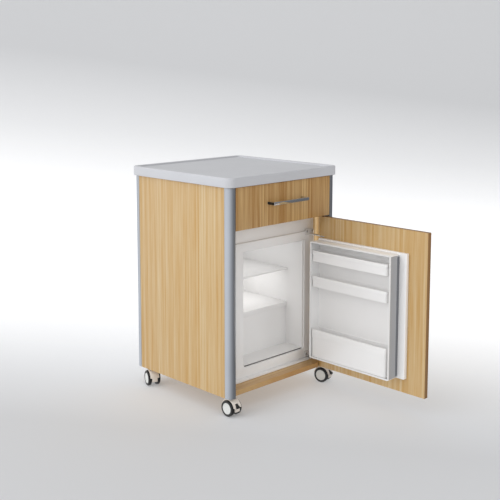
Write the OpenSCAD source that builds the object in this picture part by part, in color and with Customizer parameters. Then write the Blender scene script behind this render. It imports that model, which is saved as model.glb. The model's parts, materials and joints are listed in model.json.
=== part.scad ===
// Bedside cabinet with a drawer on runners, a built-in refrigerator and four twin-wheel casters.
// X = 0 is the middle of the cabinet, +Y points to its back, and the floor is Z = 0.
// Modules are written from the cabinet's front face (Y = 0 there) and with the door closed.

/* [Cabinet] */
// Width over the corner posts
body_w = 480; // [460:1:600]
// Depth over the corner posts
body_d = 460; // [452:1:560]
// Height of the tray's rim above the floor
top_h = 740; // [725:1:900]
// Height of the bottom board's underside above the floor
underside_h = 58; // [57:1:62]
// Thickness of the bottom board, the drawer front and the door panel
board_t = 16; // [16:1:18]
// Width of a corner post
post_w = 24; // [24:1:28]
// Radius of a post's outer corner
post_r = 17; // [8:1:17]
// Thickness of a side panel
side_t = 15; // [14:1:15]
// Depth that a panel enters the groove of a post
groove_d = 6; // [4:1:6]
// Thickness of the back panel
back_t = 4; // [3:1:5]
// Thickness of the board between the drawer and the refrigerator
divider_t = 12; // [12:1:16]
// Diameter of the dowels that join the boards
dowel_d = 8; // [6:1:8]

/* [Worktop] */
// Height of the tray's edge
tray_edge = 30; // [26:1:40]
// Overhang of the tray past the posts
tray_overhang = 8; // [4:1:15]
// Radius of the tray's corners
tray_r = 24; // [18:1:40]
// Width of the raised rim
rim_w = 15; // [12:1:25]
// Depth of the tray's recess below its rim
recess_d = 5; // [3:1:8]
// Wall thickness of the moulded tray
tray_wall = 4; // [3:0.5:5]

/* [Drawer] */
// Height of the drawer front
drawer_h = 131; // [126:1:150]
// Travel of the drawer
drawer_travel = 300; // [200:10:330]
// Wall thickness of the drawer's moulded tub
tub_wall = 4; // [3:0.5:5]
// Length of each runner
runner_l = 380; // [340:10:390]
// Height of a runner's outer channel
runner_h = 45; // [40:1:50]

/* [Door] */
// Angle of the door from closed in the rest pose
door_angle = 90; // [0:5:90]
// Gap between the door and the post on its free side
free_gap = 2; // [1.5:0.5:4]
// Gap between the door and the post on its hinge side
hinge_gap = 2.5; // [2.5:0.5:4]
// Thickness of the white plate behind the wooden panel
pan_t = 13; // [10:1:14]
// Length of the outer handles
handle_l = 160; // [120:1:220]
// Distance from the panel to a handle's outer face
handle_out = 30; // [25:1:40]
// Diameter of a hinge pin
pin_d = 5; // [4:0.5:6]

/* [Refrigerator] */
// Distance of the refrigerator's face from the cabinet's front
face_y = 74; // [72:1:80]
// Width of the refrigerator's case
fridge_w = 379; // [360:1:385]
// Height of the refrigerator's case
fridge_h = 437; // [430:1:440]
// Height of the shelf's top above the floor of the compartment
shelf_h = 266; // [200:1:300]
// Height of the step over the compressor
step_h = 147; // [140:1:160]
// Wall thickness of the inner moulding
liner_t = 2; // [1.5:0.5:3]

/* [Casters] */
// Wheel diameter
wheel_d = 50; // [48:1:50]
// Width of one wheel
wheel_w = 12; // [10:1:13]
// Distance from the swivel axis to the axle
trail = 18; // [16:1:18]
// Distance of the swivel axes from the cabinet's sides
caster_x = 26; // [22:1:32]
// Distance of the swivel axes from the cabinet's front and back
caster_y = 40; // [38:1:60]

/* [Hidden] */
$fn = 48;

// Clearances: between parts that move past each other, round a running pin, and a cutter's overrun.
gap = 0.3;
running = 0.05;
over = 1;

// The carcass
half_w = body_w / 2;
side_inset = 1;
side_x = half_w - side_inset - side_t;
post_x = half_w - post_w;
core_z = top_h - tray_edge;
board_z = underside_h + board_t;
back_setback = 6;
back_y = body_d - back_setback - back_t;

// The drawer front, the divider behind its lower edge, and the door below it
drawer_gap = 2;
drawer_z1 = core_z - drawer_gap;
drawer_z0 = drawer_z1 - drawer_h;
divider_z = drawer_z0 + 3;
door_z0 = underside_h;
door_z1 = drawer_z0 - 4.5;
door_x0 = free_gap - post_x;
door_x1 = post_x - hinge_gap;

// The door turns about a vertical axis inside its panel, near the right edge.
pivot_in = 13.5;
pivot_x = door_x1 - pivot_in;
pivot_y = board_t / 2;
pocket_r = 6;
door_sweep = norm([pivot_in, pivot_y]) + 2 * gap;

// The rest pose's box reaches from the open door's edge to the tray's rear edge.
front_reach = pivot_y + (door_x0 - pivot_x) * sin(door_angle);
y_mid = (body_d + tray_overhang + min(front_reach, -tray_overhang)) / 2;

// The refrigerator
base_t = 5;
case_t = 1.5;
case_x1 = side_x - 1;
case_x0 = case_x1 - fridge_w;
case_z0 = board_z + base_t;
case_z1 = case_z0 + fridge_h;
case_back_gap = 26;
case_y1 = back_y - case_back_gap;
foam_back_t = 28;
frame_t = 6;
mouth_x = [case_x0 + 44, case_x1 - 48];
mouth_z = [case_z0 + 33, case_z1 - 28];
mouth_r = 8;
room_x = [mouth_x[0] + 3, mouth_x[1] - 4];
room_z = [mouth_z[0] + 3, mouth_z[1] - 3];
room_y1 = case_y1 - foam_back_t;
cover_t = 4;
step_z = room_z[0] + step_h;
hump_z = step_z - cover_t;
hump_y = face_y + 82;
hump_band_z = room_z[0] + 85;
hump_setback = 2;
ledge_w = 6;
shelf_t = 5;
shelf_z = room_z[0] + shelf_h;
shelf_y = [hump_y - 8, room_y1 - 6];
bay_x = [case_x0 + 26, case_x1 - 26];
bay_y0 = hump_y + 40;
bay_z1 = hump_z - 35;
sill_y0 = face_y - 17;
surround_t = 12;

// The inner door: a white plate, and a moulded frame that seals on the refrigerator's face
pan_x = [case_x0 + 9, case_x1 - 14];
pan_z = [case_z0 + 25, case_z1 - 15];
pan_y1 = board_t + pan_t;
ring_x = [mouth_x[0] - 8, mouth_x[1] + 31];
ring_z = [mouth_z[0] - 8, mouth_z[1] + 9];
ring_t = 3;
lip_w = 4.6;
lip_t = 2;
ring_r = 6;
gasket_t = 2.7;
gasket_w = 4.4;
gasket_y1 = face_y - gap;
gasket_y0 = gasket_y1 - gasket_t;
liner_back_t = 2;
bin_x = [ring_x[0] + 15, ring_x[1] - lip_w - 0.5];
bin_y0 = pan_y1 + liner_back_t;
bin_y1 = gasket_y0 - 0.5;
bin_wall = 2;
bin_r = 8;
bin_lip = 1.8;
rest_l = 12;
balcony_h = 36;
balcony_lip = 12;
upper_bin_z = room_z[0] + 316;
middle_bin_z = room_z[0] + 231;
bottle_bin_z = ring_z[0] + lip_w + 0.5;
bottle_bin_h = 93;
bottle_lip = 27;

// Hinge brackets: a flange on the refrigerator's face and an arm that reaches forward to the pin
arm_t = 3;
arm_w = 11;
upper_arm_z = pan_z[1] + 2.5;
lower_arm_z = pan_z[0] - 2 - arm_t;
flange_h = 20;
flange_x = [pivot_x - 22, pivot_x + 16];
screw_d = 4;
screw_head_d = 8;
screw_l = 5;
pin_past = 8;

// Handles
bar_t = 8;
bar_h = 10;
leg_w = 9;
drawer_handle_z = (drawer_z0 + drawer_z1) / 2 + 6;
door_handle_x = door_x0 + 45;
door_handle_z = (door_z0 + door_z1) / 2 + 25;

// The drawer and its runners
runner_t = 1.2;
runner_w = 12.7;
runner_x1 = post_x - 0.5;
runner_x0 = runner_x1 - runner_w;
runner_z = drawer_z0 + 63;
runner_y0 = post_w + 2;
middle_h = runner_h - 2 * (runner_t + gap);
inner_h = middle_h - 2 * (runner_t + gap);
tub_z = [divider_z + divider_t + 6, drawer_z1 - 14];
tub_y = [board_t, back_y - 44];
tub_r = 10;

// Casters
wheel_r = wheel_d / 2;
hub_r = wheel_r - 5.5;
wheel_x0 = 9;
web_w = 2 * (wheel_x0 - gap);
fender_w = 30;
fender_gap = 1;
fender_t = 2.5;
stem_d = 8;
stem_flange_d = 20;
stem_flange_t = 2;
stem_in = board_t - 2;
boss_d = 18;
hood_z = [38, underside_h - stem_flange_t - 0.5];
axle_d = 5;
axle_l = 2 * (wheel_x0 + wheel_w - 3);
brake_w = 12;
brake_pivot = [-trail - 17, wheel_r + 13];
brake_tip = [-trail - 33, wheel_r + 6];
brake_pin_d = 3;
brake_t = 3;
casters = [
    [-half_w + caster_x, caster_y, 0],
    [half_w - caster_x, caster_y, 13],
    [-half_w + caster_x, body_d - caster_y, -20],
    [half_w - caster_x, body_d - caster_y, -15]
];

// ---- helpers -------------------------------------------------------------------------------

module place() { translate([0, -y_mid, 0]) children(); }
module hung() {
    place() translate([pivot_x, pivot_y, 0]) rotate([0, 0, door_angle])
        translate([-pivot_x, -pivot_y, 0]) children();
}
module both_sides() {
    children();
    mirror([1, 0, 0]) children();
}
module box(x, y, z) {
    translate([x[0], y[0], z[0]]) cube([x[1] - x[0], y[1] - y[0], z[1] - z[0]]);
}
module rect(a, b) { translate([a[0], b[0]]) square([a[1] - a[0], b[1] - b[0]]); }
module round_rect(a, b, r) {
    rect([a[0] + r, a[1] - r], b);
    rect(a, [b[0] + r, b[1] - r]);
    for (p = [a[0] + r, a[1] - r], q = [b[0] + r, b[1] - r]) translate([p, q]) circle(r = r);
}
module along_y(y) { translate([0, y[1], 0]) rotate([90, 0, 0]) linear_extrude(y[1] - y[0]) children(); }
module along_x(x) { translate([x[0], 0, 0]) rotate([90, 0, 90]) linear_extrude(x[1] - x[0]) children(); }
module along_z(z) { translate([0, 0, z[0]]) linear_extrude(z[1] - z[0]) children(); }
module rod_x(x, y, z, d) { translate([x[0], y, z]) rotate([0, 90, 0]) cylinder(d = d, h = x[1] - x[0]); }
module rod_y(x, y, z, d) { translate([x, y[1], z]) rotate([90, 0, 0]) cylinder(d = d, h = y[1] - y[0]); }

// ---- worktop -------------------------------------------------------------------------------

module tray_outline(inset) {
    round_rect([-half_w - tray_overhang + inset, half_w + tray_overhang - inset],
               [-tray_overhang + inset, body_d + tray_overhang - inset], tray_r - inset);
}
module worktop_tray() {
    color("gainsboro") place() difference() {
        along_z([core_z, top_h]) tray_outline(0);
        along_z([top_h - recess_d, top_h + over]) tray_outline(rim_w);
        along_z([core_z - over, top_h - recess_d - tray_wall]) tray_outline(tray_wall);
    }
}
module worktop_core() {
    color("burlywood") place()
        along_z([core_z, top_h - recess_d - tray_wall]) tray_outline(tray_wall);
}

// ---- posts, panels and boards --------------------------------------------------------------

// A post's section, with its outer corner at the origin
module post_section(rear) {
    difference() {
        square(post_w);
        difference() {
            square(post_r);
            translate([post_r, post_r]) circle(r = post_r);
        }
        translate([post_w / 2 + 1, post_w / 2 - 1.5]) circle(d = 9);
        rect([side_inset, side_inset + side_t], [post_w - groove_d, post_w + over]);
        if (rear) rect([post_w - groove_d, post_w + over], [back_setback, back_setback + back_t]);
    }
}
module post(right, rear) {
    color("lightsteelblue") place() mirror([right ? 1 : 0, 0, 0])
        translate([-half_w, rear ? body_d : 0, underside_h]) mirror([0, rear ? 1 : 0, 0])
        linear_extrude(core_z - underside_h) post_section(rear);
}
module front_left_post() { post(false, false); }
module front_right_post() { post(true, false); }
module rear_left_post() { post(false, true); }
module rear_right_post() { post(true, true); }

// Dowels run from the side panels into the edges of the bottom board and the divider.
module dowel_set(d) {
    for (z = [underside_h + board_t / 2, divider_z + divider_t / 2])
        for (y = [80, body_d / 2, body_d - 80])
            rod_x([side_x - 20, side_x + 9], y, z, d);
}
module board_dowels() { color("tan") place() both_sides() dowel_set(dowel_d); }
module side_panel() {
    difference() {
        box([side_x, side_x + side_t], [post_w - groove_d, body_d - post_w + groove_d],
            [underside_h, core_z]);
        dowel_set(dowel_d);
    }
}
module right_side_panel() { color("burlywood") place() side_panel(); }
module left_side_panel() { color("burlywood") place() mirror([1, 0, 0]) side_panel(); }

inlet_x = -post_x + 60;
inlet_z = board_z + 62;
inlet_w = 27;
inlet_h = 20;
vent_w = 60;
vent_h = 6;
module vents(y, z, rows) {
    for (row = [0:rows - 1], column = [-1:1])
        box([column * 100 - vent_w / 2, column * 100 + vent_w / 2], [y - over, y + back_t + over],
            [z + row * 16, z + row * 16 + vent_h]);
}
module back_panel() {
    panel_x = post_x + groove_d;
    color("whitesmoke") place() difference() {
        box([-panel_x, panel_x], [back_y, back_y + back_t], [underside_h, core_z]);
        vents(back_y, board_z + 30, 6);
        vents(back_y, case_z1 - 60, 5);
        box([inlet_x - inlet_w / 2, inlet_x + inlet_w / 2], [back_y - over, back_y + back_t + over],
            [inlet_z - inlet_h / 2, inlet_z + inlet_h / 2]);
    }
}
module power_inlet() {
    color("dimgray") place() difference() {
        union() {
            box([inlet_x - inlet_w / 2, inlet_x + inlet_w / 2], [back_y - 14, back_y + back_t],
                [inlet_z - inlet_h / 2, inlet_z + inlet_h / 2]);
            along_y([back_y + back_t, back_y + back_t + 3])
                round_rect([inlet_x - inlet_w / 2 - 5, inlet_x + inlet_w / 2 + 5],
                           [inlet_z - inlet_h / 2 - 3, inlet_z + inlet_h / 2 + 3], 3);
        }
        box([inlet_x - inlet_w / 2 + 2, inlet_x + inlet_w / 2 - 2], [back_y - 10, back_y + 10],
            [inlet_z - inlet_h / 2 + 2, inlet_z + inlet_h / 2 - 2]);
    }
}
module bottom_board() {
    color("burlywood") place() difference() {
        box([-side_x, side_x], [board_t + 2 * gap, back_y], [underside_h, board_z]);
        box([pivot_x - door_sweep, post_x + over], [0, pivot_y + door_sweep], [0, board_z + over]);
        both_sides() {
            box([post_x, half_w], [0, post_w], [0, core_z]);
            box([post_x, half_w], [body_d - post_w, body_d], [0, core_z]);
            dowel_set(dowel_d);
        }
        for (c = casters) translate([c[0], c[1], underside_h - over]) cylinder(d = stem_d, h = stem_in + over);
    }
}
module divider_board() {
    color("burlywood") place() difference() {
        box([-side_x, side_x], [board_t + 2, back_y], [divider_z, divider_z + divider_t]);
        both_sides() {
            box([post_x, half_w], [0, post_w], [0, core_z]);
            box([post_x, half_w], [body_d - post_w, body_d], [0, core_z]);
            dowel_set(dowel_d);
        }
    }
}

// ---- refrigerator --------------------------------------------------------------------------

module fridge_surround() {
    y = [face_y + frame_t, face_y + frame_t + surround_t];
    color("gainsboro") place() {
        along_y(y) {
            rect([-side_x, side_x], [case_z1, divider_z]);
            rect([-side_x, case_x0], [board_z + base_t, case_z1 + 0.01]);
        }
    }
}
module fridge_base_plate() {
    color("gainsboro") place() box([-side_x, side_x], [sill_y0, case_y1], [board_z, case_z0]);
}
module bay() {
    box(bay_x, [bay_y0, case_y1 + over], [case_z0 - over, bay_z1]);
}
module fridge_case() {
    y = [face_y + frame_t, case_y1];
    color("whitesmoke") place() difference() {
        box([case_x0, case_x1], y, [case_z0, case_z1]);
        box([case_x0 + case_t, case_x1 - case_t], [y[0] - over, y[1] - case_t],
            [case_z0 + case_t, case_z1 - case_t]);
        bay();
    }
}
// The cold room grown by a wall's thickness, with the step over the compressor taken out
module cold_room(grow, y0) {
    difference() {
        box([room_x[0] - grow, room_x[1] + grow], [y0, room_y1 + grow],
            [room_z[0] - grow, room_z[1] + grow]);
        box([room_x[0] - 50, room_x[1] + 50], [hump_y + grow, room_y1 + 50], [0, hump_z - grow]);
        box([room_x[0] - 50, room_x[1] + 50], [hump_y + hump_setback + grow, room_y1 + 50],
            [0, hump_band_z - grow]);
    }
}
thermostat_y = [face_y + 38, face_y + 78];
thermostat_z = [room_z[1] - 60, room_z[1] - 20];
thermostat_depth = 20;
knob_d = 32;
knob_h = 12;
shaft_d = 6;
knob_y = (thermostat_y[0] + thermostat_y[1]) / 2;
knob_z = (thermostat_z[0] + thermostat_z[1]) / 2;
plate_x = [room_x[0] + 25, room_x[1] - 25];
plate_z = [shelf_z - 70, room_z[1] - 20];
plate_t = 2;
module fridge_foam() {
    y = [face_y + frame_t, case_y1 - case_t];
    color("khaki") place() difference() {
        box([case_x0 + case_t, case_x1 - case_t], y, [case_z0 + case_t, case_z1 - case_t]);
        cold_room(liner_t, y[0] - over);
        bay();
        box([room_x[0] - liner_t - thermostat_depth, room_x[0]], thermostat_y, thermostat_z);
        box(plate_x, [room_y1, room_y1 + liner_t + plate_t], plate_z);
    }
}
module fridge_liner() {
    color("white") place() difference() {
        union() {
            difference() {
                cold_room(liner_t, face_y + frame_t);
                cold_room(0, face_y);
            }
            for (x = [[room_x[0], room_x[0] + ledge_w], [room_x[1] - ledge_w, room_x[1]]])
                box(x, [shelf_y[0] + 2, shelf_y[1]], [shelf_z - shelf_t - 4, shelf_z - shelf_t]);
        }
        rod_x([room_x[0] - 5, room_x[0] + 1], knob_y, knob_z, shaft_d + 2);
    }
}
module fridge_face_frame() {
    color("white") place() along_y([face_y, face_y + frame_t]) difference() {
        rect([case_x0, case_x1], [case_z0, case_z1]);
        round_rect(mouth_x, mouth_z, mouth_r);
    }
}
module fridge_shelf() {
    color("white") place()
        box([room_x[0] + 0.5, room_x[1] - 0.5], shelf_y, [shelf_z - shelf_t, shelf_z]);
}
module step_cover() {
    color("white") place() {
        box([room_x[0] + 0.5, room_x[1] - 0.5], [hump_y - 4, room_y1], [hump_z, step_z]);
        box([room_x[0] + 0.5, room_x[1] - 0.5], [hump_y - 4, hump_y - 0.5], [step_z - 16, hump_z + 0.01]);
    }
}
module evaporator_plate() {
    color("silver") place()
        box(plate_x, [room_y1 + liner_t, room_y1 + liner_t + plate_t], plate_z);
}
// A serpentine of flat tubes on a sheet, held off the case's back by four feet
module condenser() {
    tube_t = 5;
    pitch = 26;
    rows = 8;
    half = 120;
    margin = 15;
    foot_x = 90;
    mid_x = (case_x0 + case_x1) / 2;
    y = case_y1 + 12;
    z0 = bay_z1 + 40;
    sheet_z = [z0 - margin, z0 + (rows - 1) * pitch + margin];
    color("dimgray") place() translate([mid_x, 0, 0]) {
        box([-half - margin, half + margin], [y, y + 1], sheet_z);
        for (k = [0:rows - 1])
            box([-half, half], [y - 3, y + 0.5], [z0 + k * pitch, z0 + k * pitch + tube_t]);
        for (k = [0:rows - 2])
            translate([k % 2 == 0 ? half - tube_t : -half, 0, z0 + k * pitch])
                box([0, tube_t], [y - 3, y + 0.5], [0, pitch + tube_t]);
        for (x = [-foot_x, foot_x], z = [sheet_z[0] + 8, sheet_z[1] - 8])
            box([x - 5, x + 5], [case_y1, y + 0.5], [z - 5, z + 5]);
    }
}
compressor_x = (bay_x[0] + bay_x[1]) / 2 + 30;
compressor_y = (bay_y0 + case_y1) / 2 + 20;
module compressor() {
    r = 52;
    dome_r = 20;
    shell_h = bay_z1 - case_z0 - 24;
    color("black") place() translate([compressor_x, compressor_y, case_z0]) {
        translate([0, 0, 8]) rotate_extrude() {
            square([r, shell_h - dome_r - 8]);
            square([r - dome_r, shell_h - 8]);
            translate([r - dome_r, shell_h - dome_r - 8]) intersection() {
                circle(r = dome_r);
                square(dome_r);
            }
        }
        difference() {
            box([-80, 80], [-45, 45], [4, 9]);
            for (x = [-68, 68], y = [-33, 33]) translate([x, y, 0]) cylinder(d = 8, h = 12);
        }
        for (x = [-68, 68], y = [-33, 33]) translate([x, y, 0]) difference() {
            cylinder(d = 18, h = 4);
            translate([0, 0, -over]) cylinder(d = 8, h = 6);
        }
    }
}
module thermostat() {
    color("gainsboro") place() {
        box([room_x[0] - liner_t - thermostat_depth, room_x[0] - liner_t], thermostat_y, thermostat_z);
        rod_x([room_x[0] - liner_t - 1, room_x[0] + 8], knob_y, knob_z, shaft_d);
    }
}
module thermostat_knob() {
    x0 = room_x[0] + 0.6;
    color("gray") place() difference() {
        union() {
            rod_x([x0, x0 + knob_h - 4], knob_y, knob_z, knob_d);
            box([x0 + 4, x0 + knob_h], [knob_y - 3, knob_y + 3], [knob_z - 15, knob_z + 15]);
        }
        rod_x([x0 - over, room_x[0] + 8.4], knob_y, knob_z, shaft_d + 2 * running);
    }
}

// ---- hinges --------------------------------------------------------------------------------

// An arm lies at z0, and its flange stands on the face above it (side = 1) or below it (-1).
module hinge_bracket(z0, side) {
    flange_z = side > 0 ? [z0, z0 + flange_h] : [z0 + arm_t - flange_h, z0 + arm_t];
    color("silver") place() difference() {
        union() {
            box([pivot_x - arm_w / 2, pivot_x + arm_w / 2], [pivot_y, face_y], [z0, z0 + arm_t]);
            translate([pivot_x, pivot_y, z0]) cylinder(d = arm_w, h = arm_t);
            box(flange_x, [face_y - arm_t, face_y], flange_z);
        }
        translate([pivot_x, pivot_y, z0 - over]) cylinder(d = pin_d + 2 * running, h = arm_t + 2 * over);
        bracket_screw_set(z0, side, screw_d, true);
    }
}
module bracket_screw_set(z0, side, d, cutter) {
    z = side > 0 ? z0 + flange_h - 8 : z0 + arm_t - flange_h + 8;
    for (x = [flange_x[0] + 6, flange_x[1] - 6])
        rod_y(x, [face_y - arm_t - (cutter ? over : 0), face_y + (cutter ? over : 0)], z, d);
}
module upper_hinge_bracket() { hinge_bracket(upper_arm_z, 1); }
module lower_hinge_bracket() { hinge_bracket(lower_arm_z, -1); }
module bracket_screws() {
    color("gray") place() for (b = [[upper_arm_z, 1], [lower_arm_z, -1]]) {
        bracket_screw_set(b[0], b[1], screw_d, false);
        z = b[1] > 0 ? b[0] + flange_h - 8 : b[0] + arm_t - flange_h + 8;
        for (x = [flange_x[0] + 6, flange_x[1] - 6])
            rod_y(x, [face_y - arm_t - 2, face_y - arm_t], z, screw_head_d);
    }
}
module hinge_pins() {
    color("silver") hung() translate([pivot_x, pivot_y, 0]) {
        translate([0, 0, upper_arm_z - pin_past]) cylinder(d = pin_d, h = door_z1 - upper_arm_z + pin_past);
        translate([0, 0, door_z0]) cylinder(d = pin_d, h = lower_arm_z + arm_t + pin_past - door_z0);
    }
}

// ---- door ----------------------------------------------------------------------------------

module door_panel() {
    edge_r = 2;
    color("burlywood") hung() difference() {
        along_z([door_z0, door_z1]) difference() {
            rect([door_x0, door_x1], [0, board_t]);
            translate([door_x1 - edge_r, 0]) difference() {
                translate([0, -over]) square([edge_r + over, edge_r + over]);
                translate([0, edge_r]) circle(r = edge_r);
            }
        }
        for (z = [upper_arm_z, lower_arm_z])
            box([pivot_x - pocket_r, door_x1 + over], [pivot_y - pocket_r, board_t + over],
                [z - 0.6, z + arm_t + 0.6]);
        translate([pivot_x, pivot_y, 0]) {
            translate([0, 0, upper_arm_z - pin_past]) cylinder(d = pin_d, h = door_z1);
            translate([0, 0, door_z0 - over])
                cylinder(d = pin_d, h = lower_arm_z + arm_t + pin_past - door_z0 + over);
        }
    }
}
module door_pan() {
    wall = 1.2;
    color("white") hung() difference() {
        along_y([board_t, pan_y1]) round_rect(pan_x, pan_z, 4);
        box([ring_x[0] + 20, ring_x[1] - 20], [board_t + wall, pan_y1 + over], [ring_z[0] + 20, ring_z[1] - 20]);
    }
}
module door_liner() {
    color("white") hung() {
        along_y([pan_y1, bin_y0]) round_rect(ring_x, ring_z, ring_r);
        along_y([pan_y1, gasket_y0]) difference() {
            round_rect(ring_x, ring_z, ring_r);
            round_rect([ring_x[0] + ring_t, ring_x[1] - ring_t],
                       [ring_z[0] + ring_t, ring_z[1] - ring_t], ring_r - ring_t);
        }
        along_y([gasket_y0 - lip_t, gasket_y0]) difference() {
            round_rect(ring_x, ring_z, ring_r);
            rect([ring_x[0] + lip_w, ring_x[1] - lip_w], [ring_z[0] + lip_w, ring_z[1] - lip_w]);
        }
        for (z = [upper_bin_z, middle_bin_z, bottle_bin_z + 40]) {
            box([ring_x[0] + 1, bin_x[0]], [pan_y1 + 1, bin_y1 - 20], [z + 6, z + 6 + rest_l]);
            box([bin_x[1], ring_x[1] - 1], [pan_y1 + 1, bin_y1 - 20], [z + 6, z + 6 + rest_l]);
        }
    }
}
module door_gasket() {
    color("silver") hung() along_y([gasket_y0, gasket_y1]) difference() {
        round_rect(ring_x, ring_z, ring_r);
        rect([ring_x[0] + gasket_w, ring_x[1] - gasket_w], [ring_z[0] + gasket_w, ring_z[1] - gasket_w]);
    }
}
// A bin's plan, grown by g, with its two front corners rounded
module bin_plan(g) {
    x = [bin_x[0] - g, bin_x[1] + g];
    y = [bin_y0 + max(0, -g), bin_y1 - bin_lip + g];
    r = bin_r + g;
    rect(x, [y[0], y[1] - r]);
    rect([x[0] + r, x[1] - r], y);
    for (p = [x[0] + r, x[1] - r]) translate([p, y[1] - r]) circle(r = r);
}
module door_bin(z0, h, lip_h) {
    color("white") hung() difference() {
        union() {
            along_z([z0, z0 + h]) bin_plan(0);
            along_z([z0 + h - lip_h, z0 + h]) intersection() {
                bin_plan(bin_lip);
                rect(bin_x, [bin_y0, face_y]);
            }
        }
        along_z([z0 + bin_wall, z0 + h + over]) bin_plan(-bin_wall);
    }
}
module upper_balcony() { door_bin(upper_bin_z, balcony_h, balcony_lip); }
module middle_balcony() { door_bin(middle_bin_z, balcony_h, balcony_lip); }
module bottle_bin() { door_bin(bottle_bin_z, bottle_bin_h, bottle_lip); }

// A square bow handle, centred on the origin, standing out towards -Y
module bow_handle() {
    box([-handle_l / 2, handle_l / 2], [-handle_out, -handle_out + bar_t], [-bar_h / 2, bar_h / 2]);
    both_sides() box([handle_l / 2 - leg_w, handle_l / 2], [-handle_out, 0], [-bar_h / 2, bar_h / 2]);
}
module door_handle() {
    color("silver") hung() translate([door_handle_x, 0, door_handle_z]) rotate([0, 90, 0]) bow_handle();
}

// ---- drawer --------------------------------------------------------------------------------

module drawer_front() {
    color("burlywood") place()
        box([-post_x + 1.5, post_x - 1.5], [0, board_t], [drawer_z0, drawer_z1]);
}
module drawer_tub() {
    color("whitesmoke") place() difference() {
        box([-runner_x0, runner_x0], tub_y, tub_z);
        along_z([tub_z[0] + tub_wall, tub_z[1] + over])
            round_rect([-runner_x0 + tub_wall, runner_x0 - tub_wall],
                       [tub_y[0] + tub_wall, tub_y[1] - tub_wall], tub_r);
    }
}
module drawer_handle() {
    color("silver") place() translate([0, 0, drawer_handle_z]) bow_handle();
}
// Three nested channels: the outer one on the packer, the middle one, and the inner one on the tub
module channel(x, y, h, web_outside) {
    web = web_outside ? [x[1] - runner_t, x[1]] : [x[0], x[0] + runner_t];
    box(web, y, [runner_z - h / 2, runner_z + h / 2]);
    for (z = [runner_z - h / 2, runner_z + h / 2 - runner_t]) box(x, y, [z, z + runner_t]);
}
module runner_outers() {
    color("silver") place() both_sides()
        channel([runner_x0 + 3, runner_x1], [runner_y0, runner_y0 + runner_l], runner_h, true);
}
module runner_middles() {
    color("silver") place() both_sides()
        channel([runner_x0 + 2, runner_x1 - 2], [runner_y0, runner_y0 + runner_l - 20], middle_h, true);
}
module runner_inners() {
    color("silver") place() both_sides()
        channel([runner_x0, runner_x0 + 6.7], [board_t, board_t + runner_l], inner_h, false);
}
module runner_packers() {
    color("burlywood") place() both_sides()
        box([runner_x1, side_x], [runner_y0, runner_y0 + runner_l], [runner_z - 25, runner_z + 25]);
}

// ---- casters -------------------------------------------------------------------------------

module at_caster(c) { place() translate([c[0], c[1], 0]) rotate([0, 0, c[2]]) children(); }
module caster_stems() {
    color("silver") for (c = casters) at_caster(c) {
        translate([0, 0, hood_z[0] + 2]) cylinder(d = stem_d, h = underside_h + stem_in - hood_z[0] - 2);
        translate([0, 0, underside_h - stem_flange_t]) cylinder(d = stem_flange_d, h = stem_flange_t);
    }
}
module wheel_room() {
    both_sides() rod_x([wheel_x0 - gap, wheel_x0 + wheel_w + 10], -trail, wheel_r, wheel_d + 2 * fender_gap);
}
module hood(braked) {
    r = wheel_r + fender_gap + fender_t;
    difference() {
        union() {
            along_x([-web_w / 2, web_w / 2]) intersection() {
                translate([-trail, wheel_r]) circle(r = r);
                rect([-trail - r, r], [wheel_r - 8, wheel_r + r]);
            }
            along_x([-fender_w / 2, fender_w / 2]) intersection() {
                translate([-trail, wheel_r]) difference() {
                    circle(r = r);
                    circle(r = r - fender_t);
                }
                rect([-trail - r, r], [wheel_r + 5, wheel_r + r]);
            }
            translate([0, 0, hood_z[0]]) cylinder(d = boss_d, h = hood_z[1] - hood_z[0]);
        }
        wheel_room();
        translate([0, 0, hood_z[0] - over]) cylinder(d = stem_d + 2 * running, h = hood_z[1]);
        rod_x([-web_w, web_w], -trail, wheel_r, axle_d);
        if (braked) box([-brake_w / 2 - gap, brake_w / 2 + gap], [-trail - r - over, -trail - 10],
                        [wheel_r + 2, wheel_r + 17]);
    }
    rod_x([-axle_l / 2, axle_l / 2], -trail, wheel_r, axle_d);
    if (braked) rod_x([-web_w / 2, web_w / 2], brake_pivot[0], brake_pivot[1], brake_pin_d);
}
module brake() {
    difference() {
        along_x([-brake_w / 2, brake_w / 2]) hull() {
            translate(brake_pivot) circle(d = brake_pin_d + 2.4);
            translate(brake_tip) circle(d = brake_t);
        }
        rod_x([-brake_w, brake_w], brake_pivot[0], brake_pivot[1], brake_pin_d + 2 * running);
    }
}
module wheel(side) {
    x = side > 0 ? [wheel_x0, wheel_x0 + wheel_w] : [-wheel_x0 - wheel_w, -wheel_x0];
    face = side > 0 ? x[1] : x[0];
    translate([0, -trail, wheel_r]) {
        color("black") difference() {
            rod_x(x, 0, 0, wheel_d);
            rod_x([x[0] - over, x[1] + over], 0, 0, 2 * hub_r);
        }
        color("whitesmoke") difference() {
            rod_x(x, 0, 0, 2 * hub_r);
            rod_x([min(-side * over, side * axle_l / 2 + side * gap),
                   max(-side * over, side * axle_l / 2 + side * gap)], 0, 0, axle_d + 2 * running);
            rod_x([face - 1, face + 1], 0, 0, 2 * hub_r - 8);
        }
    }
}
module front_left_hood() { color("antiquewhite") at_caster(casters[0]) hood(true); }
module front_right_hood() { color("antiquewhite") at_caster(casters[1]) hood(true); }
module rear_left_hood() { color("antiquewhite") at_caster(casters[2]) hood(false); }
module rear_right_hood() { color("antiquewhite") at_caster(casters[3]) hood(false); }
module front_left_brake() { color("black") at_caster(casters[0]) brake(); }
module front_right_brake() { color("black") at_caster(casters[1]) brake(); }
module front_left_wheel_a() { at_caster(casters[0]) wheel(-1); }
module front_left_wheel_b() { at_caster(casters[0]) wheel(1); }
module front_right_wheel_a() { at_caster(casters[1]) wheel(-1); }
module front_right_wheel_b() { at_caster(casters[1]) wheel(1); }
module rear_left_wheel_a() { at_caster(casters[2]) wheel(-1); }
module rear_left_wheel_b() { at_caster(casters[2]) wheel(1); }
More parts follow.
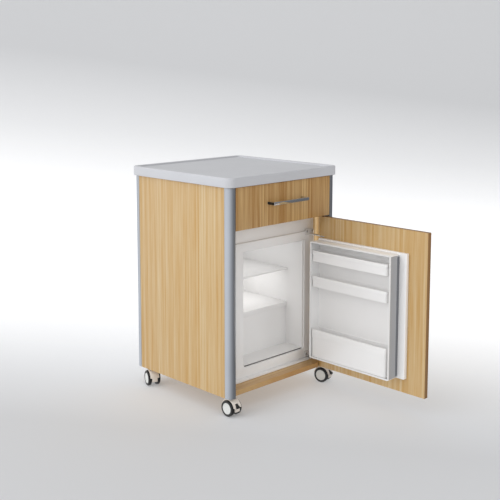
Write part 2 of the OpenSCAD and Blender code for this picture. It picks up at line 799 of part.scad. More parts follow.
module rear_right_wheel_a() { at_caster(casters[3]) wheel(-1); }
module rear_right_wheel_b() { at_caster(casters[3]) wheel(1); }

worktop_tray();
worktop_core();
front_left_post();
front_right_post();
rear_left_post();
rear_right_post();
left_side_panel();
right_side_panel();
back_panel();
bottom_board();
divider_board();
board_dowels();
fridge_surround();
fridge_base_plate();
power_inlet();
fridge_case();
fridge_foam();
fridge_liner();
fridge_face_frame();
fridge_shelf();
step_cover();
evaporator_plate();
condenser();
compressor();
thermostat();
thermostat_knob();
upper_hinge_bracket();
lower_hinge_bracket();
bracket_screws();
door_panel();
door_pan();
door_liner();
door_gasket();
upper_balcony();
middle_balcony();
bottle_bin();
hinge_pins();
door_handle();
drawer_front();
drawer_tub();
drawer_handle();
runner_inners();
runner_middles();
runner_outers();
runner_packers();
caster_stems();
front_left_hood();
front_left_wheel_a();
front_left_wheel_b();
front_left_brake();
front_right_hood();
front_right_wheel_a();
front_right_wheel_b();
front_right_brake();
rear_left_hood();
rear_left_wheel_a();
rear_left_wheel_b();
rear_right_hood();
rear_right_wheel_a();
rear_right_wheel_b();
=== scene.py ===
"""A bedside cabinet with a drawer and a built-in refrigerator, standing open on a pale studio floor."""
import json
import math

import bmesh
import bpy
from mathutils import Matrix, Vector

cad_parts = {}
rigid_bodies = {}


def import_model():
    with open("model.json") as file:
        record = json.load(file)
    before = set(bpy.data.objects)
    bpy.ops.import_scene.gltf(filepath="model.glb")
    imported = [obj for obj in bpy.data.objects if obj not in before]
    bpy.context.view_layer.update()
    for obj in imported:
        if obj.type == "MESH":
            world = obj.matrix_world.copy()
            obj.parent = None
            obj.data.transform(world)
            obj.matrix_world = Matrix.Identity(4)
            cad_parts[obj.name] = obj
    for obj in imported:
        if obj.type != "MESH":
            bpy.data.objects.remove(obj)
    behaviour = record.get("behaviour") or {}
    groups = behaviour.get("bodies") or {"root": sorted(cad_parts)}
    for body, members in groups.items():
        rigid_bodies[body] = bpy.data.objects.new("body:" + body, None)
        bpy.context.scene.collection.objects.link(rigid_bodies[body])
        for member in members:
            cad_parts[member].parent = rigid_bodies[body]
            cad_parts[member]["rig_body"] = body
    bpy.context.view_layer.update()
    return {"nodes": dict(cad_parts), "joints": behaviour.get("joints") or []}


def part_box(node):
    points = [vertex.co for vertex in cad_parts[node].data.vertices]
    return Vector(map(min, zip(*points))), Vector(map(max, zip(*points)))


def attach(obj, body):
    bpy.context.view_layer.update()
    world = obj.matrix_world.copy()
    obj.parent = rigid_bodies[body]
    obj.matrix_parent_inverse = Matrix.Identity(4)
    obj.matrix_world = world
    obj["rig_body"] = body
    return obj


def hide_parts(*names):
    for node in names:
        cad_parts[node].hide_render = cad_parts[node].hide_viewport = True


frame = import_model()


# ---- the studio ----------------------------------------------------------------------------------
# A floor of opal acrylic sheet that curves up behind the cabinet and is lit from behind, under a
# pale room that dims to the right. Soft boxes stand on the left and in front, small ones light the
# cold room, and the camera is a little above the worktop.
scene = bpy.context.scene
camera_data = bpy.data.cameras.new("camera")
camera_data.lens = 65.13
camera_data.sensor_width = 36.0
camera_data.shift_y = -0.153
camera = bpy.data.objects.new("camera", camera_data)
camera.location = (-2.0532, -1.9568, 1.0787)
camera.rotation_euler = (math.radians(90 - 7), 0, math.radians(-44.58))
scene.collection.objects.link(camera)
scene.camera = camera
scene.view_settings.view_transform = "Standard"


def srgb(hex_colour):
    """A hex sRGB colour as the linear RGBA that shaders take."""
    parts = [int(hex_colour[k:k + 2], 16) / 255 for k in (0, 2, 4)]
    linear = [c / 12.92 if c <= 0.04045 else ((c + 0.055) / 1.055) ** 2.4 for c in parts]
    return (*linear, 1.0)


def add(tree, kind, settings=None, links=None):
    """Adds a node: settings are its properties or unlinked inputs, links are sockets to join."""
    node = tree.nodes.new(kind)
    for key, value in (settings or {}).items():
        if isinstance(key, str) and hasattr(node, key):
            setattr(node, key, value)
        else:
            node.inputs[key].default_value = value
    for key, socket in (links or {}).items():
        tree.links.new(socket, node.inputs[key])
    return node


def new_material(name):
    """A material's node tree, its shader and its object coordinates."""
    material = bpy.data.materials.new(name)
    material.use_nodes = True
    tree = material.node_tree
    place = add(tree, "ShaderNodeTexCoord").outputs["Object"]
    return material, tree, tree.nodes["Principled BSDF"], place


def ramp(tree, factor, stops):
    """A colour ramp through (position, colour) stops."""
    node = add(tree, "ShaderNodeValToRGB", links={"Fac": factor})
    elements = node.color_ramp.elements
    while len(elements) < len(stops):
        elements.new(0.5)
    for element, (position, colour) in zip(elements, stops):
        element.position = position
        element.color = colour
    return node.outputs["Color"]


def mesh_object(name, mesh):
    """An object at the origin that holds a bmesh, which it frees."""
    data = bpy.data.meshes.new(name)
    mesh.to_mesh(data)
    mesh.free()
    piece = bpy.data.objects.new(name, data)
    scene.collection.objects.link(piece)
    return piece


ahead = Vector((math.sin(-camera.rotation_euler.z), math.cos(-camera.rotation_euler.z), 0))
aside = Vector((ahead.y, -ahead.x, 0))
floor_near = -6.0
half_width = 9.0
wall_at = 3.0
wall_curve = 2.5
wall_top = 8.0
profile = [(floor_near, 0.0), (wall_at, 0.0)]
for step in range(1, 17):
    turn = math.radians(90 * step / 16)
    profile.append((wall_at + wall_curve * math.sin(turn), wall_curve * (1 - math.cos(turn))))
profile.append((wall_at + wall_curve, wall_top))
sweep_mesh = bmesh.new()
rows = [[sweep_mesh.verts.new(ahead * along + aside * side + Vector((0, 0, up)))
         for side in (-half_width, half_width)] for along, up in profile]
for low, high in zip(rows, rows[1:]):
    sweep_mesh.faces.new((low[0], low[1], high[1], high[0])).smooth = True
sweep = mesh_object("studio_sweep", sweep_mesh)

# Opal acrylic diffuses the lamps behind it: pale grey near the camera, white at the bend, and grey
# again up high. The stops are metres along the floor and up the wall, from where the glow starts.
opal, tree, shader, place = new_material("back_lit_opal_acrylic")
glow_start = -1.5
glow_length = 10.0
glow_stops = ((0.0, 0.06), (1.15, 0.07), (1.5, 0.2), (1.98, 0.42), (2.5, 0.62), (5.0, 0.62), (6.3, 0.29),
              (7.4, 0.07))
away = ahead + aside * 0.22
distance = add(tree, "ShaderNodeVectorMath", {"operation": "DOT_PRODUCT", 1: away}, {0: place})
height = add(tree, "ShaderNodeSeparateXYZ", links={0: place}).outputs["Z"]
climb = add(tree, "ShaderNodeMath", {"operation": "ADD"}, {0: distance.outputs["Value"], 1: height})
graded = add(tree, "ShaderNodeMapRange", {"From Min": glow_start, "From Max": glow_start + glow_length},
             {"Value": climb.outputs[0]})
glow = ramp(tree, graded.outputs[0],
            [(reach / glow_length, (level, level, level, 1)) for reach, level in glow_stops])
tree.links.new(glow, shader.inputs["Emission Color"])
shader.inputs["Emission Strength"].default_value = 1.0
shader.inputs["Base Color"].default_value = srgb("CDCED0")
shader.inputs["Roughness"].default_value = 0.9
shader.inputs["Specular IOR Level"].default_value = 0.1
sweep.data.materials.append(opal)
sweep.visible_glossy = False

# The room is brightest on the left and dims steadily to the right. Past the floor's edge it shows
# as an even pale grey.
room = bpy.data.worlds.new("studio")
room.use_nodes = True
scene.world = room
tree = room.node_tree
background = tree.nodes["Background"]
background.inputs["Color"].default_value = srgb("FFFFFF")
dim_side = (0.866, -0.5, -0.09)
looking = add(tree, "ShaderNodeTexCoord").outputs["Generated"]
toward_dim = add(tree, "ShaderNodeVectorMath", {"operation": "DOT_PRODUCT", 1: dim_side}, {0: looking})
falling = add(tree, "ShaderNodeMath", {"operation": "MULTIPLY_ADD", 1: -0.55, 2: 0.75},
              {0: toward_dim.outputs["Value"]})
seen = add(tree, "ShaderNodeLightPath").outputs["Is Camera Ray"]
even = add(tree, "ShaderNodeMix", {3: 0.8}, {0: seen, 2: falling.outputs[0]})
tree.links.new(even.outputs[0], background.inputs["Strength"])


def soft_light(name, place, aim, size, power, tint="FFFFFF"):
    """A soft box at a place, turned to what it lights."""
    data = bpy.data.lights.new(name, "AREA")
    data.shape = "RECTANGLE"
    data.size, data.size_y = size
    data.energy = power
    data.color = srgb(tint)[:3]
    light = bpy.data.objects.new(name, data)
    light.location = place
    light.rotation_euler = (Vector(aim) - Vector(place)).to_track_quat("-Z", "Y").to_euler()
    light.visible_glossy = False
    scene.collection.objects.link(light)


soft_light("left_window", (-3.2, 0.9, 1.5), (0, 0.1, 0.4), (2.4, 1.8), 20, "F4F8FF")
soft_light("front_fill", (-0.1, -3.3, 1.1), (0, 0, 0.4), (1.6, 1.6), 16)
room_low, room_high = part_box("fridge_liner")
shelf_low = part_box("fridge_shelf")[0]
across = (room_low.x + room_high.x) / 2
for name, front, top, power in (("upper_glow", room_low.y + 0.02, room_high.z - 0.005, 0.12),
                                ("lower_glow", shelf_low.y + 0.015, shelf_low.z - 0.003, 0.15)):
    deep = (front + room_high.y) / 2
    soft_light(name, (across, deep, top), (across, deep, 0), (0.25, room_high.y - front - 0.02), power)
soft_light("reveal_glow", (0.2185, 0.033, 0.5), (0.3, 0.033, 0.5), (0.018, 0.14), 0.006)


# ---- worktop -------------------------------------------------------------------------------------
# A tray with a raised rim, vacuum formed from grey ABS sheet over a board core, so every edge of it
# is softly rounded. Its grain is a fine matt one that scatters the light.
nodes = frame["nodes"]
rim_width = 0.015
recess_depth = 0.005
tray_wall = 0.004
corner_radius = 0.024
foot_radius = 0.001
brow_radius = 0.0035
crest_radius = 0.002
cove_radius = 0.0025


def rounded_outline(low, high, inset, radius, up, steps=12):
    """Points round an upright rectangle's plan, inset from two corners and with rounded corners."""
    radius = max(radius - inset, 0.002)
    points = []
    for quarter, (x, y) in enumerate([(high.x - inset, high.y - inset), (low.x + inset, high.y - inset),
                                      (low.x + inset, low.y + inset), (high.x - inset, low.y + inset)]):
        centre = Vector((x - math.copysign(radius, x - (low.x + high.x) / 2),
                         y - math.copysign(radius, y - (low.y + high.y) / 2), up))
        for step in range(steps + 1):
            turn = math.radians(90 * (quarter + step / steps))
            points.append(centre + Vector((math.cos(turn), math.sin(turn), 0)) * radius)
    return points


def arc(inset, up, radius, start, end, steps=5):
    """(inset, height) pairs round an edge, with its centre at inset, up and angles in degrees."""
    turns = [math.radians(start + (end - start) * step / steps) for step in range(steps + 1)]
    return [(inset - radius * math.cos(turn), up + radius * math.sin(turn)) for turn in turns]


def loft(name, rings):
    """A closed piece through rings of equally many points, with a flat cap at each end."""
    mesh = bmesh.new()
    loops = [[mesh.verts.new(point) for point in ring] for ring in rings]
    for low, high in zip(loops, loops[1:]):
        for k in range(len(low)):
            after = (k + 1) % len(low)
            mesh.faces.new((low[k], low[after], high[after], high[k])).smooth = True
    mesh.faces.new(list(reversed(loops[0])))
    mesh.faces.new(loops[-1])
    bmesh.ops.recalc_face_normals(mesh, faces=mesh.faces)
    return mesh_object(name, mesh)


def grained(name, colour, roughness, grit, depth, metallic=0.0, mottle=0.03, coat=0.0):
    """One colour with a faint cloudy drift, and a fine grain whose grit and depth are in metres."""
    material, tree, shader, place = new_material(name)
    base = srgb(colour)
    drift = add(tree, "ShaderNodeTexNoise", {"Scale": 9.0, "Detail": 3.0}, {"Vector": place})
    shades = [(0.3, (*[c * (1 - mottle) for c in base[:3]], 1)),
              (0.7, (*[min(1, c * (1 + mottle)) for c in base[:3]], 1))]
    tree.links.new(ramp(tree, drift.outputs["Fac"], shades), shader.inputs["Base Color"])
    fine = add(tree, "ShaderNodeTexNoise", {"Scale": 1 / grit, "Detail": 2.0}, {"Vector": place})
    bump = add(tree, "ShaderNodeBump", {"Strength": 0.25, "Distance": depth}, {"Height": fine.outputs["Fac"]})
    tree.links.new(bump.outputs[0], shader.inputs["Normal"])
    shader.inputs["Roughness"].default_value = roughness
    shader.inputs["Metallic"].default_value = metallic
    shader.inputs["Coat Weight"].default_value = coat
    return material


def stand_for(piece, name, material):
    """Puts a finished piece on the body of the CAD node that it stands for."""
    piece.data.materials.append(material)
    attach(piece, nodes[name]["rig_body"])
    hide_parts(name)
    return piece


# ABS drawn over a grained mould: a fine matt grain that spreads the light, and no mirror image.
grey_abs = grained("vacuum_formed_grey_abs", "CBCCD0", 0.42, 0.0012, 0.0002, mottle=0.02)
tray_low, tray_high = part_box("worktop_tray")
recess = tray_high.z - recess_depth
tray_profile = [(tray_wall, recess - tray_wall), (tray_wall, tray_low.z)]
tray_profile += arc(foot_radius, tray_low.z + foot_radius, foot_radius, -90, 0, 3)
tray_profile += arc(brow_radius, tray_high.z - brow_radius, brow_radius, 0, 90, 6)
tray_profile += arc(rim_width - crest_radius, tray_high.z - crest_radius, crest_radius, 90, 180, 4)
tray_profile += [(rim_width + cove_radius - cove_radius * math.cos(math.radians(turn)),
                  recess + cove_radius - cove_radius * math.sin(math.radians(turn)))
                 for turn in (15, 40, 65, 90)]
tray = loft("moulded_tray", [rounded_outline(tray_low, tray_high, inset, corner_radius, up)
                             for inset, up in tray_profile])
stand_for(tray, "worktop_tray", grey_abs)


# ---- panels and boards ---------------------------------------------------------------------------
# Laminated bamboo, pressed from strips set on edge, planed, and lacquered satin, in grooves of the
# posts. The strips differ in tone and fibres streak them along their length: fine upright stripes.
strip_width = 0.0062
stave_width = 0.031
# Patterns to a metre, across the strips and along them: fibres 1.4 mm wide, streaks 7 mm wide and
# clouds 25 mm wide. Real fibres are finer than this, and would not show.
fibres = (700.0, 9.0)
streaks = (150.0, 4.0)
clouds = (40.0, 3.0)


def bamboo(name, across, along, pale, deep):
    """Bamboo whose strips lie side by side on axis across and run on axis along."""
    material, tree, shader, place = new_material(name)
    axes = add(tree, "ShaderNodeSeparateXYZ", links={0: place})
    side, run = axes.outputs[across], axes.outputs[along]

    def calculate(operation, *values):
        node = add(tree, "ShaderNodeMath", {"operation": operation})
        for k, value in enumerate(values):
            if isinstance(value, (int, float)):
                node.inputs[k].default_value = value
            else:
                tree.links.new(value, node.inputs[k])
        return node.outputs[0]

    def noise(per_metre, detail, offset=0.0):
        side_scale, run_scale = per_metre
        spot = add(tree, "ShaderNodeCombineXYZ", links={"X": calculate("MULTIPLY", side, side_scale),
                                                        "Y": calculate("MULTIPLY", run, run_scale)})
        spot.inputs["Z"].default_value = offset
        return add(tree, "ShaderNodeTexNoise", {"Scale": 1.0, "Detail": detail, "Roughness": 0.6},
                   {"Vector": spot.outputs[0]}).outputs["Fac"]

    def one_tone(width, seed):
        number = calculate("FLOOR", calculate("ADD", calculate("DIVIDE", swayed, width), seed))
        tones = add(tree, "ShaderNodeTexWhiteNoise", {"noise_dimensions": "1D"}, {"W": number})
        return tones.outputs["Value"]

    swayed = calculate("MULTIPLY_ADD", noise((3.0, 1.2), 1.0), 0.006, side)
    strip, stave = one_tone(strip_width, 0.0), one_tone(stave_width, 40.5)
    fibre, streak, cloud = noise(fibres, 4.0), noise(streaks, 3.0, 3.0), noise(clouds, 2.0, 7.0)
    tone = calculate("MULTIPLY", strip, 0.22)
    for part, share in ((stave, 0.12), (fibre, 0.3), (streak, 0.66), (cloud, 0.12)):
        tone = calculate("MULTIPLY_ADD", part, share, tone)
    wood = ramp(tree, tone, [(0.42, srgb(deep)), (0.98, srgb(pale))])
    tree.links.new(wood, shader.inputs["Base Color"])
    shader.inputs["Roughness"].default_value = 0.42
    shader.inputs["Coat Weight"].default_value = 0.1
    shader.inputs["Coat Roughness"].default_value = 0.3
    bump = add(tree, "ShaderNodeBump", {"Strength": 0.12, "Distance": 0.0003}, {"Height": fibre})
    tree.links.new(bump.outputs[0], shader.inputs["Normal"])
    return material


# Satin lacquer over honey-coloured strips, so the light shows as a soft sheen and not as a mirror image. The
# drawer front is cut from darker strips, and the boards lie flat. The bands round the edges are darker brown,
# partly because end grain takes the lacquer in and goes brown, and partly as painted shade for edges that
# face away from the light.
side_bamboo = bamboo("laminated_bamboo_side", 1, 2, "D4BE96", "BC8D40")
front_bamboo = bamboo("laminated_bamboo_front", 0, 2, "D8B680", "9C6826")
lying_bamboo = bamboo("laminated_bamboo_lying", 1, 0, "D9BC8A", "B4844A")
edge_grain_and_shade = bamboo("end_grain_and_painted_shade_edge", 0, 1, "A87F4E", "7C5528")


def cleaned(name):
    """A merged copy of a CAD node's mesh, with its flat faces whole again."""
    mesh = bmesh.new()
    mesh.from_mesh(nodes[name].data)
    bmesh.ops.remove_doubles(mesh, verts=mesh.verts, dist=1e-6)
    bmesh.ops.dissolve_limit(mesh, angle_limit=math.radians(0.2), verts=mesh.verts, edges=mesh.edges)
    for face in mesh.faces:
        face.smooth = True
    return mesh


def round_edges(piece, radius, segments=3):
    """Rounds every edge sharper than 35 degrees."""
    bevel = piece.modifiers.new("rounded_edges", "BEVEL")
    bevel.width = radius
    bevel.segments = segments
    bevel.limit_method = "ANGLE"
    bevel.angle_limit = math.radians(35)
    bevel.harden_normals = True


def soften(name, material, radius, segments=3):
    """A CAD node with its edges rounded as the real piece's are."""
    piece = stand_for(mesh_object(name + "_finished", cleaned(name)), name, material)
    round_edges(piece, radius, segments)
    return piece


def dress(material, *names):
    """Gives CAD nodes that stay as they are their material."""
    for name in names:
        nodes[name].data.materials.clear()
        nodes[name].data.materials.append(material)


def edge_band(piece, across, material):
    """Gives the narrow faces round a board their own darker finish, partly end grain and partly painted
    shade: across is the axis of its thickness.
    """
    piece.data.materials.append(material)
    for face in piece.data.polygons:
        if abs(face.normal[across]) < 0.7:
            face.material_index = 1


for panel in ("left_side_panel", "right_side_panel"):
    soften(panel, side_bamboo, 0.0006, 2)
soften("bottom_board", lying_bamboo, 0.0008, 2)
dress(lying_bamboo, "divider_board", "runner_packers", "worktop_core", "board_dowels")


# ---- corner posts --------------------------------------------------------------------------------
# Extruded aluminium, satin anodised, with a round outer corner and grooves that hold the panels.
# The etch before anodising leaves a fine frost, which turns the reflections into soft upright bands.
anodised = grained("satin_anodised_aluminium", "AEB3BB", 0.36, 0.0006, 0.00005, metallic=1.0)
for corner in ("front_left", "front_right", "rear_left", "rear_right"):
    soften(corner + "_post", anodised, 0.0004, 2)


# ---- back ----------------------------------------------------------------------------------------
# A white melamine-faced sheet with rows of punched vents, held in grooves of the rear posts, and a
# dark grey mains inlet pressed into it. The facing is even and satin, the moulding has a low sheen.
white_melamine = grained("white_melamine_sheet", "E4E3E1", 0.5, 0.002, 0.0001, mottle=0.015)
dark_abs = grained("moulded_dark_grey_abs", "4A4C50", 0.5, 0.001, 0.0001)
soften("back_panel", white_melamine, 0.0005, 2)
soften("power_inlet", dark_abs, 0.0005, 2)


# ---- refrigerator --------------------------------------------------------------------------------
# A cold room thermoformed from white polystyrene, foamed into a white steel case, with a moulded
# face frame, a shelf and a step over the compressor. It stands on the bottom board. Polystyrene has
# a soft gloss that waves a little, enamel is smoother, foam is dead matt, and aluminium glares softly.
white_styrene = grained("thermoformed_white_polystyrene", "F6F5F4", 0.3, 0.012, 0.0002, mottle=0.01,
                        coat=0.1)
white_enamel = grained("white_stove_enamel", "EDECEA", 0.28, 0.004, 0.00005, mottle=0.01)
foam = grained("white_expanded_polystyrene", "ECEAE6", 0.9, 0.004, 0.0008)
mill_aluminium = grained("mill_finish_aluminium", "C9CACC", 0.35, 0.003, 0.00005, metallic=1.0)
black_enamel = grained("black_stove_enamel", "1B1B1D", 0.4, 0.002, 0.0001)
for panel in ("fridge_surround", "fridge_base_plate"):
    soften(panel, white_styrene, 0.0008, 2)
for moulding in ("fridge_liner", "fridge_face_frame", "fridge_shelf", "step_cover", "thermostat"):
    soften(moulding, white_styrene, 0.0012)
dress(white_enamel, "fridge_case")
dress(foam, "fridge_foam")
dress(mill_aluminium, "evaporator_plate")
dress(black_enamel, "condenser", "compressor")


def extruded_strip(name, size, centre, material, body):
    """A thin upright or lying strip with rounded edges, on a body."""
    mesh = bmesh.new()
    bmesh.ops.create_cube(mesh, size=1.0)
    for vert in mesh.verts:
        vert.co *= Vector(size)
        vert.co += Vector(centre)
    strip = mesh_object(name, mesh)
    strip.data.materials.append(material)
    round_edges(strip, 0.0004, 2)
    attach(strip, body)


# A thin dark grey strip along the sill, in the seam between the inner moulding and the face frame, is painted
# shadow: its colour stands in for the shade in that seam's gap. It has the finish of soft, satin extruded
# PVC.
sill_shadow_paint = grained("sill_painted_shadow_grey", "6E6D6B", 0.55, 0.002, 0.0001)
frame_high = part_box("fridge_face_frame")[1]
liner_wall = 0.002
shadow_strip_end_gap = 0.006
extruded_strip("sill_painted_shadow_strip", (room_high.x - room_low.x - 2 * liner_wall - 2 * shadow_strip_end_gap, 0.0012, 0.003),
               (across, frame_high.y - 0.0008, room_low.z + liner_wall - 0.0012), sill_shadow_paint, "cabinet")


# ---- thermostat knob -----------------------------------------------------------------------------
# A dark grey ABS knob with a finger bar, pushed onto the thermostat's shaft, and moulded with a ring
# of small ribs round its rim for grip.
def nodes_piece(name, base, tree, settings):
    """What a Geometry Nodes tree makes of a base mesh, as a plain mesh object."""
    holder = bpy.data.objects.new(name + "_base", base)
    scene.collection.objects.link(holder)
    modifier = holder.modifiers.new("pattern", "NODES")
    modifier.node_group = tree
    for item in tree.interface.items_tree:
        if item.item_type == "SOCKET" and item.in_out == "INPUT" and item.name in settings:
            modifier[item.identifier] = settings[item.name]
    view = bpy.context.evaluated_depsgraph_get()
    data = bpy.data.meshes.new_from_object(holder.evaluated_get(view))
    holder.modifiers.remove(modifier)
    bpy.data.objects.remove(holder)
    data.name = name
    piece = bpy.data.objects.new(name, data)
    scene.collection.objects.link(piece)
    return piece


def pattern_tree(name, inputs):
    """An empty Geometry Nodes tree with a mesh in and out, and its named inputs."""
    tree = bpy.data.node_groups.new(name, "GeometryNodeTree")
    tree.interface.new_socket("Geometry", in_out="INPUT", socket_type="NodeSocketGeometry")
    for label, kind in inputs:
        tree.interface.new_socket(label, in_out="INPUT", socket_type=kind)
    tree.interface.new_socket("Geometry", in_out="OUTPUT", socket_type="NodeSocketGeometry")
    return tree, add(tree, "NodeGroupInput"), add(tree, "NodeGroupOutput")


soften("thermostat_knob", dark_abs, 0.0008, 2)
knob_low, knob_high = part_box("thermostat_knob")
knob_centre = (knob_low + knob_high) / 2
rim_radius = (knob_high.z - knob_low.z) / 2
rib_tree, given, result = pattern_tree(
    "knob_ribs", [("Radius", "NodeSocketFloat"), ("Count", "NodeSocketInt"), ("Rib size", "NodeSocketVector"),
                  ("Finish", "NodeSocketMaterial")])
rim = add(rib_tree, "GeometryNodeMeshCircle", links={"Vertices": given.outputs["Count"],
                                                     "Radius": given.outputs["Radius"]})
rib = add(rib_tree, "GeometryNodeMeshCube", links={"Size": given.outputs["Rib size"]})
where = add(rib_tree, "GeometryNodeInputPosition")
facing = add(rib_tree, "FunctionNodeAlignRotationToVector", {"axis": "X"}, {"Vector": where.outputs[0]})
ribs = add(rib_tree, "GeometryNodeInstanceOnPoints",
           links={"Points": rim.outputs[0], "Instance": rib.outputs[0], "Rotation": facing.outputs[0]})
real = add(rib_tree, "GeometryNodeRealizeInstances", links={0: ribs.outputs[0]})
finish = add(rib_tree, "GeometryNodeSetMaterial", links={"Geometry": real.outputs[0],
                                                         "Material": given.outputs["Finish"]})
rib_tree.links.new(finish.outputs[0], result.inputs[0])
rib_sunk = 0.0004
rib_count = 28
rib_size = (0.0014, 0.0012, 0.006)
rib_middle = 0.0042
knob_ribs = nodes_piece("knob_ribs", bpy.data.meshes.new("rim"), rib_tree,
                        {"Radius": rim_radius - rib_sunk, "Count": rib_count, "Rib size": rib_size,
                         "Finish": dark_abs})
knob_ribs.data.transform(Matrix.Translation((knob_low.x + rib_middle, knob_centre.y, knob_centre.z))
                         @ Matrix.Rotation(math.radians(90), 4, "Y"))
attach(knob_ribs, "thermostat_dial")


# ---- hinges --------------------------------------------------------------------------------------
# Bent steel brackets, each held by two pan-head screws, with steel pins for the door to turn on.
# Powder coat is white with a slight orange peel, and zinc plate is a bright grey with a haze.
white_powder = grained("white_powder_coated_steel", "DAD8D6", 0.45, 0.0009, 0.0002, mottle=0.02)
zinc = grained("zinc_plated_steel", "B4B6BA", 0.3, 0.002, 0.00005, metallic=1.0)
for bracket in ("upper_hinge_bracket", "lower_hinge_bracket"):
    soften(bracket, white_powder, 0.0005, 2)
dress(zinc, "hinge_pins", "caster_stems")

screw_tree, given, result = pattern_tree(
    "pan_head_screws", [("Head radius", "NodeSocketFloat"), ("Head height", "NodeSocketFloat"),
                        ("Finish", "NodeSocketMaterial")])
dome = add(screw_tree, "GeometryNodeMeshUVSphere", {"Segments": 24, "Rings": 12},
           {"Radius": given.outputs["Head radius"]})
squat = add(screw_tree, "ShaderNodeMath", {"operation": "DIVIDE"}, {0: given.outputs["Head height"],
                                                                    1: given.outputs["Head radius"]})
shape = add(screw_tree, "ShaderNodeCombineXYZ", {"X": 1.0, "Z": 1.0}, {"Y": squat.outputs[0]})
heads = add(screw_tree, "GeometryNodeInstanceOnPoints",
            links={"Points": given.outputs["Geometry"], "Instance": dome.outputs[0],
                   "Scale": shape.outputs[0]})
real = add(screw_tree, "GeometryNodeRealizeInstances", links={0: heads.outputs[0]})
finish = add(screw_tree, "GeometryNodeSetMaterial", links={"Geometry": real.outputs[0],
                                                           "Material": given.outputs["Finish"]})
screw_tree.links.new(finish.outputs[0], result.inputs[0])
screws_low, screws_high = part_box("bracket_screws")
head_radius = 0.004
head_height = 0.002
seats = bpy.data.meshes.new("screw_seats")
seats.from_pydata([(x, screws_low.y + head_height, z)
                   for x in (screws_low.x + head_radius, screws_high.x - head_radius)
                   for z in (screws_low.z + head_radius, screws_high.z - head_radius)], [], [])
screw_heads = nodes_piece("bracket_screw_heads", seats, screw_tree,
                          {"Head radius": head_radius, "Head height": head_height, "Finish": zinc})
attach(screw_heads, "cabinet")
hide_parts("bracket_screws")


# ---- door ----------------------------------------------------------------------------------------
# A bamboo panel with darker bands round its edges, a flat white pan screwed to its back, and a deep
# moulded liner on that, which carries three bins. A magnetic seal of soft, satin PVC runs round it.
seal = grained("soft_white_pvc_seal", "EEEDEC", 0.5, 0.001, 0.0001)
# The panel's narrow faces take the darker edge finish: partly end grain, partly painted shade.
edge_band(soften("door_panel", side_bamboo, 0.001, 2), 0, edge_grain_and_shade)
soften("door_pan", white_styrene, 0.0015)
liner = soften("door_liner", white_styrene, 0.0011)
for bin_name in ("upper_balcony", "middle_balcony", "bottle_bin"):
    soften(bin_name, white_styrene, 0.0009)
dress(seal, "door_gasket")

# The liner's free end face is coloured a mid grey with a fine matt grain. That grey is painted shade,
# standing in for the shade that falls on the end, and a darker grey strip down its joint with the pan is
# painted shadow of the groove there.
liner_end_painted_shade = grained("liner_end_painted_shade_grey", "A9ABAF", 0.45, 0.0012, 0.0001, mottle=0.02)
liner.data.materials.append(liner_end_painted_shade)
liner_low, liner_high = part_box("door_liner")
for face in liner.data.polygons:
    if face.normal.y < -0.9 and face.center.y < liner_low.y + 0.001:
        face.material_index = 1
# A dark grey strip down the liner's free end, by the pan, is painted shadow: it stands in for the shade in
# the groove between the liner and the pan.
groove_painted_shade = grained("groove_painted_shade_grey", "6F7176", 0.55, 0.001, 0.0001)
shade_strip_width = 0.010
shade_strip_end_gap = 0.008
extruded_strip("liner_end_painted_groove_shade", (shade_strip_width, 0.0012, liner_high.z - liner_low.z - 2 * shade_strip_end_gap),
               (liner_high.x - 0.0052, liner_low.y - 0.0002, (liner_low.z + liner_high.z) / 2),
               groove_painted_shade, "door")


# ---- handles -------------------------------------------------------------------------------------
# Square steel bows, polished and chrome plated, with a black nylon plug in each end, screwed on from
# behind. Chrome mirrors the room sharply, and the plugs are dull.
chrome = grained("bright_chrome_plate", "C9CCD2", 0.07, 0.02, 0.00002, metallic=1.0, mottle=0.01)
black_nylon = grained("black_nylon_plug", "101316", 0.45, 0.001, 0.0001)


def bow_handle(name, along):
    """A chrome bow, its end faces inset to hold their plugs: along is the axis of its bar."""
    mesh = cleaned(name)
    reach = [vert.co[along] for vert in mesh.verts]
    ends = [face for face in mesh.faces if abs(face.normal[along]) > 0.99
            and min(abs(face.calc_center_median()[along] - end) for end in (min(reach), max(reach))) < 1e-4]
    bmesh.ops.inset_individual(mesh, faces=ends, thickness=0.0012, depth=-0.0004)
    mesh.faces.index_update()
    plugs = [face.index for face in ends]
    piece = mesh_object(name + "_finished", mesh)
    stand_for(piece, name, chrome)
    piece.data.materials.append(black_nylon)
    for index in plugs:
        piece.data.polygons[index].material_index = 1
    round_edges(piece, 0.0008)


bow_handle("drawer_handle", 0)
bow_handle("door_handle", 2)


# ---- drawer --------------------------------------------------------------------------------------
# A bamboo front screwed to a one-piece tub moulded from white polystyrene, which slides on
# three-part runners of zinc-plated steel.
# The front's narrow faces take the darker edge finish: partly end grain, partly painted shade.
edge_band(soften("drawer_front", front_bamboo, 0.001, 2), 1, edge_grain_and_shade)
soften("drawer_tub", white_styrene, 0.0012)
dress(zinc, "runner_inners", "runner_middles", "runner_outers")


# ---- casters -------------------------------------------------------------------------------------
# Twin wheels with black rubber treads on white nylon hubs, under cream nylon hoods on steel stems.
# The front pair have a black brake lever in a slot of the hood. Nylon is satin, and rubber is dull.
cream_nylon = grained("moulded_cream_nylon", "E9E0D6", 0.42, 0.001, 0.0001)
white_nylon = grained("moulded_white_nylon", "DEDFDC", 0.35, 0.001, 0.00005, mottle=0.01)
rubber = grained("moulded_black_rubber", "0E0E0F", 0.5, 0.0015, 0.0002)
joints = {joint["child"]: joint for joint in frame["joints"]}


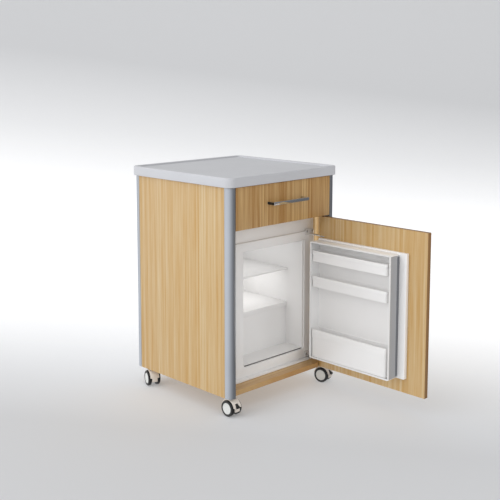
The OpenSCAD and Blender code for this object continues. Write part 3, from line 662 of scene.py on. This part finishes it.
def turned(name, profile, centre, axis, steps=64):
    """A closed solid of revolution through (radius, along) points, round an axis through a centre."""
    mesh = bmesh.new()
    outward = axis.orthogonal().normalized()
    verts = [mesh.verts.new(centre + axis * along + outward * radius) for radius, along in profile]
    edges = [mesh.edges.new(pair) for pair in zip(verts, verts[1:])]
    if profile[0][0] > 0:
        edges.append(mesh.edges.new((verts[-1], verts[0])))
    bmesh.ops.spin(mesh, geom=verts + edges, cent=centre, axis=axis, angle=math.tau, steps=steps)
    bmesh.ops.remove_doubles(mesh, verts=mesh.verts, dist=1e-6)
    bmesh.ops.recalc_face_normals(mesh, faces=mesh.faces)
    for face in mesh.faces:
        face.smooth = True
    return mesh_object(name, mesh)


half_tread = 0.006
tread_depth = 0.0072
tread_round = 0.003
cap_radius = 0.009
quarter_turn = [math.radians(turn) for turn in (0, 22, 45, 68, 90)]


def caster_wheel(corner, letter):
    """A rubber tyre and a dished nylon hub, in place of one wheel of a caster."""
    name = corner + "_wheel_" + letter
    body = corner + "_roll_" + letter
    low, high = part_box(name)
    centre = (low + high) / 2
    radius = (high.z - low.z) / 2
    axis = Vector(joints[body]["axis"]).normalized()
    swivel = Vector(joints[corner + "_swivel"]["pos_m"])
    if axis.dot(centre - swivel) < 0:
        axis = -axis
    half, hub, shoulder = half_tread, radius - tread_depth, radius - tread_round
    tread = [(hub, -half + 0.0006), (hub + 0.001, -half)]
    tread += [(shoulder + tread_round * math.sin(turn), -half + tread_round - tread_round * math.cos(turn))
              for turn in quarter_turn]
    tread += [(shoulder + tread_round * math.cos(turn), half - tread_round + tread_round * math.sin(turn))
              for turn in quarter_turn]
    tread += [(hub + 0.001, half), (hub, half - 0.0006)]
    tyre = turned(name + "_tyre", tread, centre, axis)
    tyre.data.materials.append(rubber)
    dish = [(0.0, -half + 0.001), (hub - 0.0002, -half + 0.001), (hub - 0.0002, half - 0.0008),
            (hub - 0.001, half - 0.0002), (hub - 0.0024, half - 0.0002), (hub - 0.003, half - 0.0012),
            (0.0118, half - 0.0006), (cap_radius, half - 0.0003), (0.0082, half - 0.0008),
            (0.0074, half - 0.0003), (0.004, half - 0.0001), (0.0, half)]
    cap = turned(name + "_hub", dish, centre, axis)
    cap.data.materials.append(white_nylon)
    for piece in (tyre, cap):
        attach(piece, body)
    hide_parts(name)


for corner in ("front_left", "front_right", "rear_left", "rear_right"):
    soften(corner + "_hood", cream_nylon, 0.0008)
    for letter in "ab":
        caster_wheel(corner, letter)
for corner in ("front_left", "front_right"):
    soften(corner + "_brake", black_nylon, 0.0005, 2)
